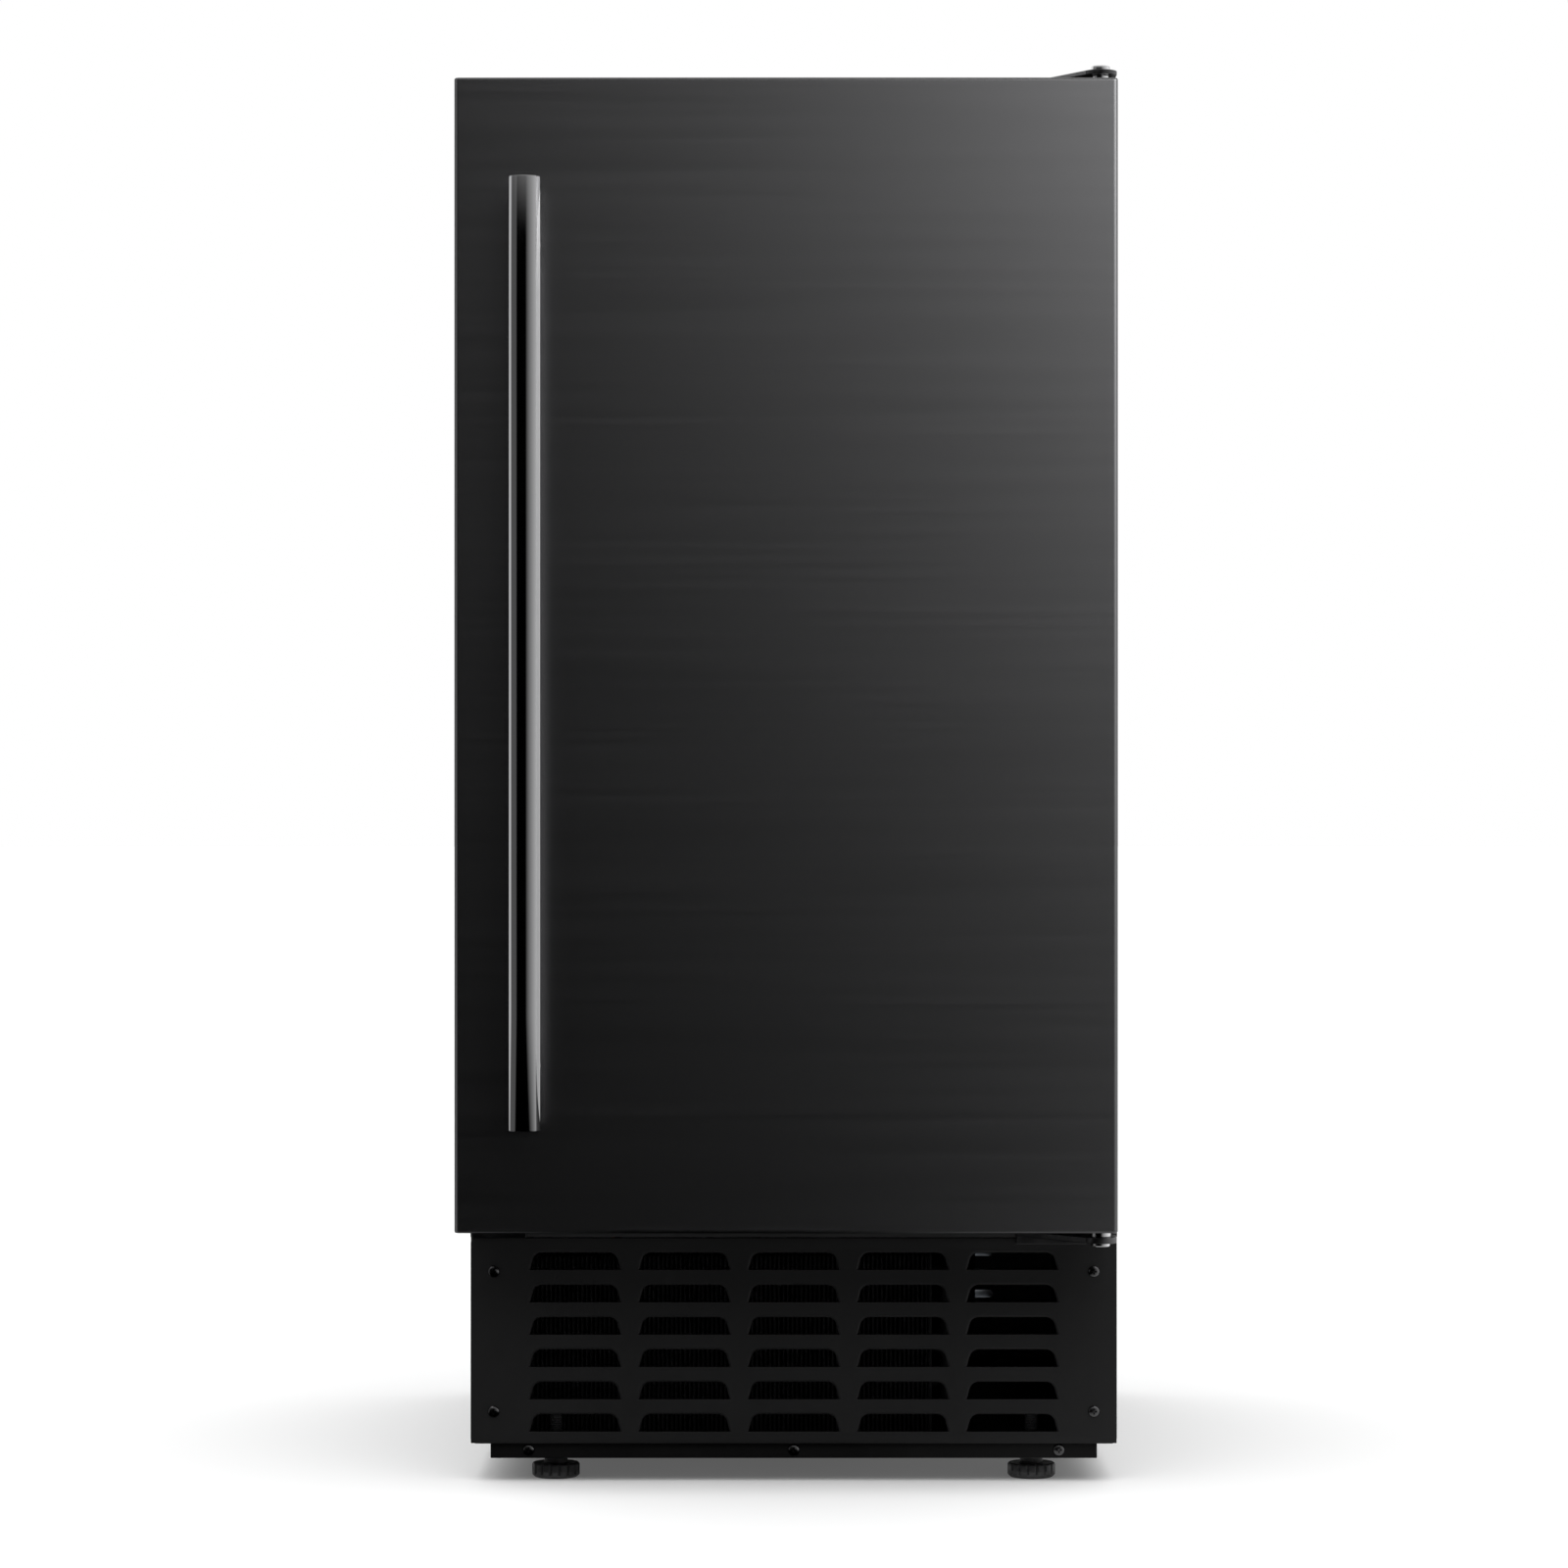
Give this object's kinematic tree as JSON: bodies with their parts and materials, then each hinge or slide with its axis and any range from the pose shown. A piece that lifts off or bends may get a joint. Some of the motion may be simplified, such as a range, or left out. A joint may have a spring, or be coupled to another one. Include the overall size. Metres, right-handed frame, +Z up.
{
  "type": "ice maker",
  "caption": "Under-counter ice maker with a full-height hinged door, long round bar handle, louvred front grille, insulated ice bin and evaporator, and adjustable feet.",
  "frame": {"origin": "bottom centre of the outer box, on the floor under the feet", "axes": "+Z up, the door faces -Y, +X to the viewer's right"},
  "size_m": [0.3836, 0.58, 0.822],
  "materials": {
    "black_paint": "satin",
    "grille_black": "satin",
    "dark_steel": "satin",
    "handle_metal": "polished",
    "bright_metal": "polished",
    "zinc_steel": "satin",
    "aluminium_fin": "satin",
    "copper": "satin",
    "white_plastic": "gloss",
    "grey_plastic": "matte",
    "black_plastic": "matte",
    "clear_plastic": "gloss",
    "rubber": "matte",
    "foam": "matte",
    "board_green": "satin"
  },
  "bodies": {
    "cabinet": {"base_pan": "grille_black", "lower_crossbar": "zinc_steel", "side_panel_left": "black_paint", "side_panel_right": "black_paint", "top_panel": "black_paint", "rear_panel": "zinc_steel", "panel_screws": "zinc_steel", "front_crossbar": "dark_steel", "machine_deck": "zinc_steel", "front_grille": "grille_black", "front_screws": "bright_metal", "hinge_blank_plate": "zinc_steel", "top_hinge_plate": "black_paint", "bottom_hinge_bracket": "dark_steel", "hinge_pins": "bright_metal", "cabinet_foam": "foam", "inner_liner": "white_plastic", "bin_guard": "clear_plastic", "drain_pipe": "grey_plastic", "evaporator_frame": "white_plastic", "evaporator_plate": "aluminium_fin", "evaporator_coil": "copper", "distributor_tube": "white_plastic", "water_trough": "white_plastic", "water_pump": "grey_plastic", "pump_hose": "clear_plastic", "control_housing": "grey_plastic", "control_board": "board_green", "display_lens": "black_plastic", "bin_lamp": "clear_plastic", "compressor": "black_paint", "compressor_grommets": "rubber", "condenser": "aluminium_fin", "fan_shroud": "black_plastic", "fan_motor": "grey_plastic", "filter_drier": "copper", "condenser_lines": "copper", "suction_line": "copper", "hot_gas_valve": "copper", "water_inlet_valve": "white_plastic", "water_fill_tube": "clear_plastic", "cord_gland": "black_plastic"},
    "door": {"door_skin": "dark_steel", "door_liner": "white_plastic", "door_foam": "foam", "door_gasket": "rubber", "handle_bar": "handle_metal", "handle_posts": "handle_metal", "handle_screws": "zinc_steel", "door_bushings": "white_plastic"},
    "ice_curtain": {"ice_curtain": "clear_plastic"},
    "fan_blade": {"fan_blade": "black_plastic"},
    "level_float": {"level_float": "clear_plastic"},
    "power_button": {"power_button": "white_plastic"},
    "clean_button": {"clean_button": "white_plastic"},
    "light_button": {"light_button": "white_plastic"},
    "foot_front_left": {"foot_front_left": "black_plastic"},
    "foot_front_right": {"foot_front_right": "black_plastic"},
    "foot_rear_left": {"foot_rear_left": "black_plastic"},
    "foot_rear_right": {"foot_rear_right": "black_plastic"}
  },
  "joints": [
    {"name": "door_hinge", "type": "hinge", "parent": "cabinet", "child": "door", "pos_m": [0.17925, -0.2235, 0.15], "axis": [0, 0, 1], "range_deg": [0, 115]},
    {"name": "curtain_swing", "type": "hinge", "parent": "cabinet", "child": "ice_curtain", "pos_m": [-0.02725, 0.1421, 0.73], "axis": [-1, 0, 0], "range_deg": [0, 50]},
    {"name": "fan_spin", "type": "hinge", "parent": "cabinet", "child": "fan_blade", "pos_m": [-0.03905, -0.0695, 0.0756], "axis": [0, 1, 0], "continuous": true},
    {"name": "float_lift", "type": "slide", "parent": "cabinet", "child": "level_float", "axis": [0, 0, 1], "range_m": [0, 0.014]},
    {"name": "power_press", "type": "slide", "parent": "cabinet", "child": "power_button", "axis": [0, 1, 0], "range_m": [0, 0.0015], "stiffness_N_per_m": 600, "springref_m": -0.0005},
    {"name": "clean_press", "type": "slide", "parent": "cabinet", "child": "clean_button", "axis": [0, 1, 0], "range_m": [0, 0.0015], "stiffness_N_per_m": 600, "springref_m": -0.0005},
    {"name": "light_press", "type": "slide", "parent": "cabinet", "child": "light_button", "axis": [0, 1, 0], "range_m": [0, 0.0015], "stiffness_N_per_m": 600, "springref_m": -0.0005},
    {"name": "foot_front_left_screw", "type": "slide", "parent": "cabinet", "child": "foot_front_left", "axis": [0, 0, -1], "range_m": [0, 0.02]},
    {"name": "foot_front_right_screw", "type": "slide", "parent": "cabinet", "child": "foot_front_right", "axis": [0, 0, -1], "range_m": [0, 0.02]},
    {"name": "foot_rear_left_screw", "type": "slide", "parent": "cabinet", "child": "foot_rear_left", "axis": [0, 0, -1], "range_m": [0, 0.02]},
    {"name": "foot_rear_right_screw", "type": "slide", "parent": "cabinet", "child": "foot_rear_right", "axis": [0, 0, -1], "range_m": [0, 0.02]}
  ]
}
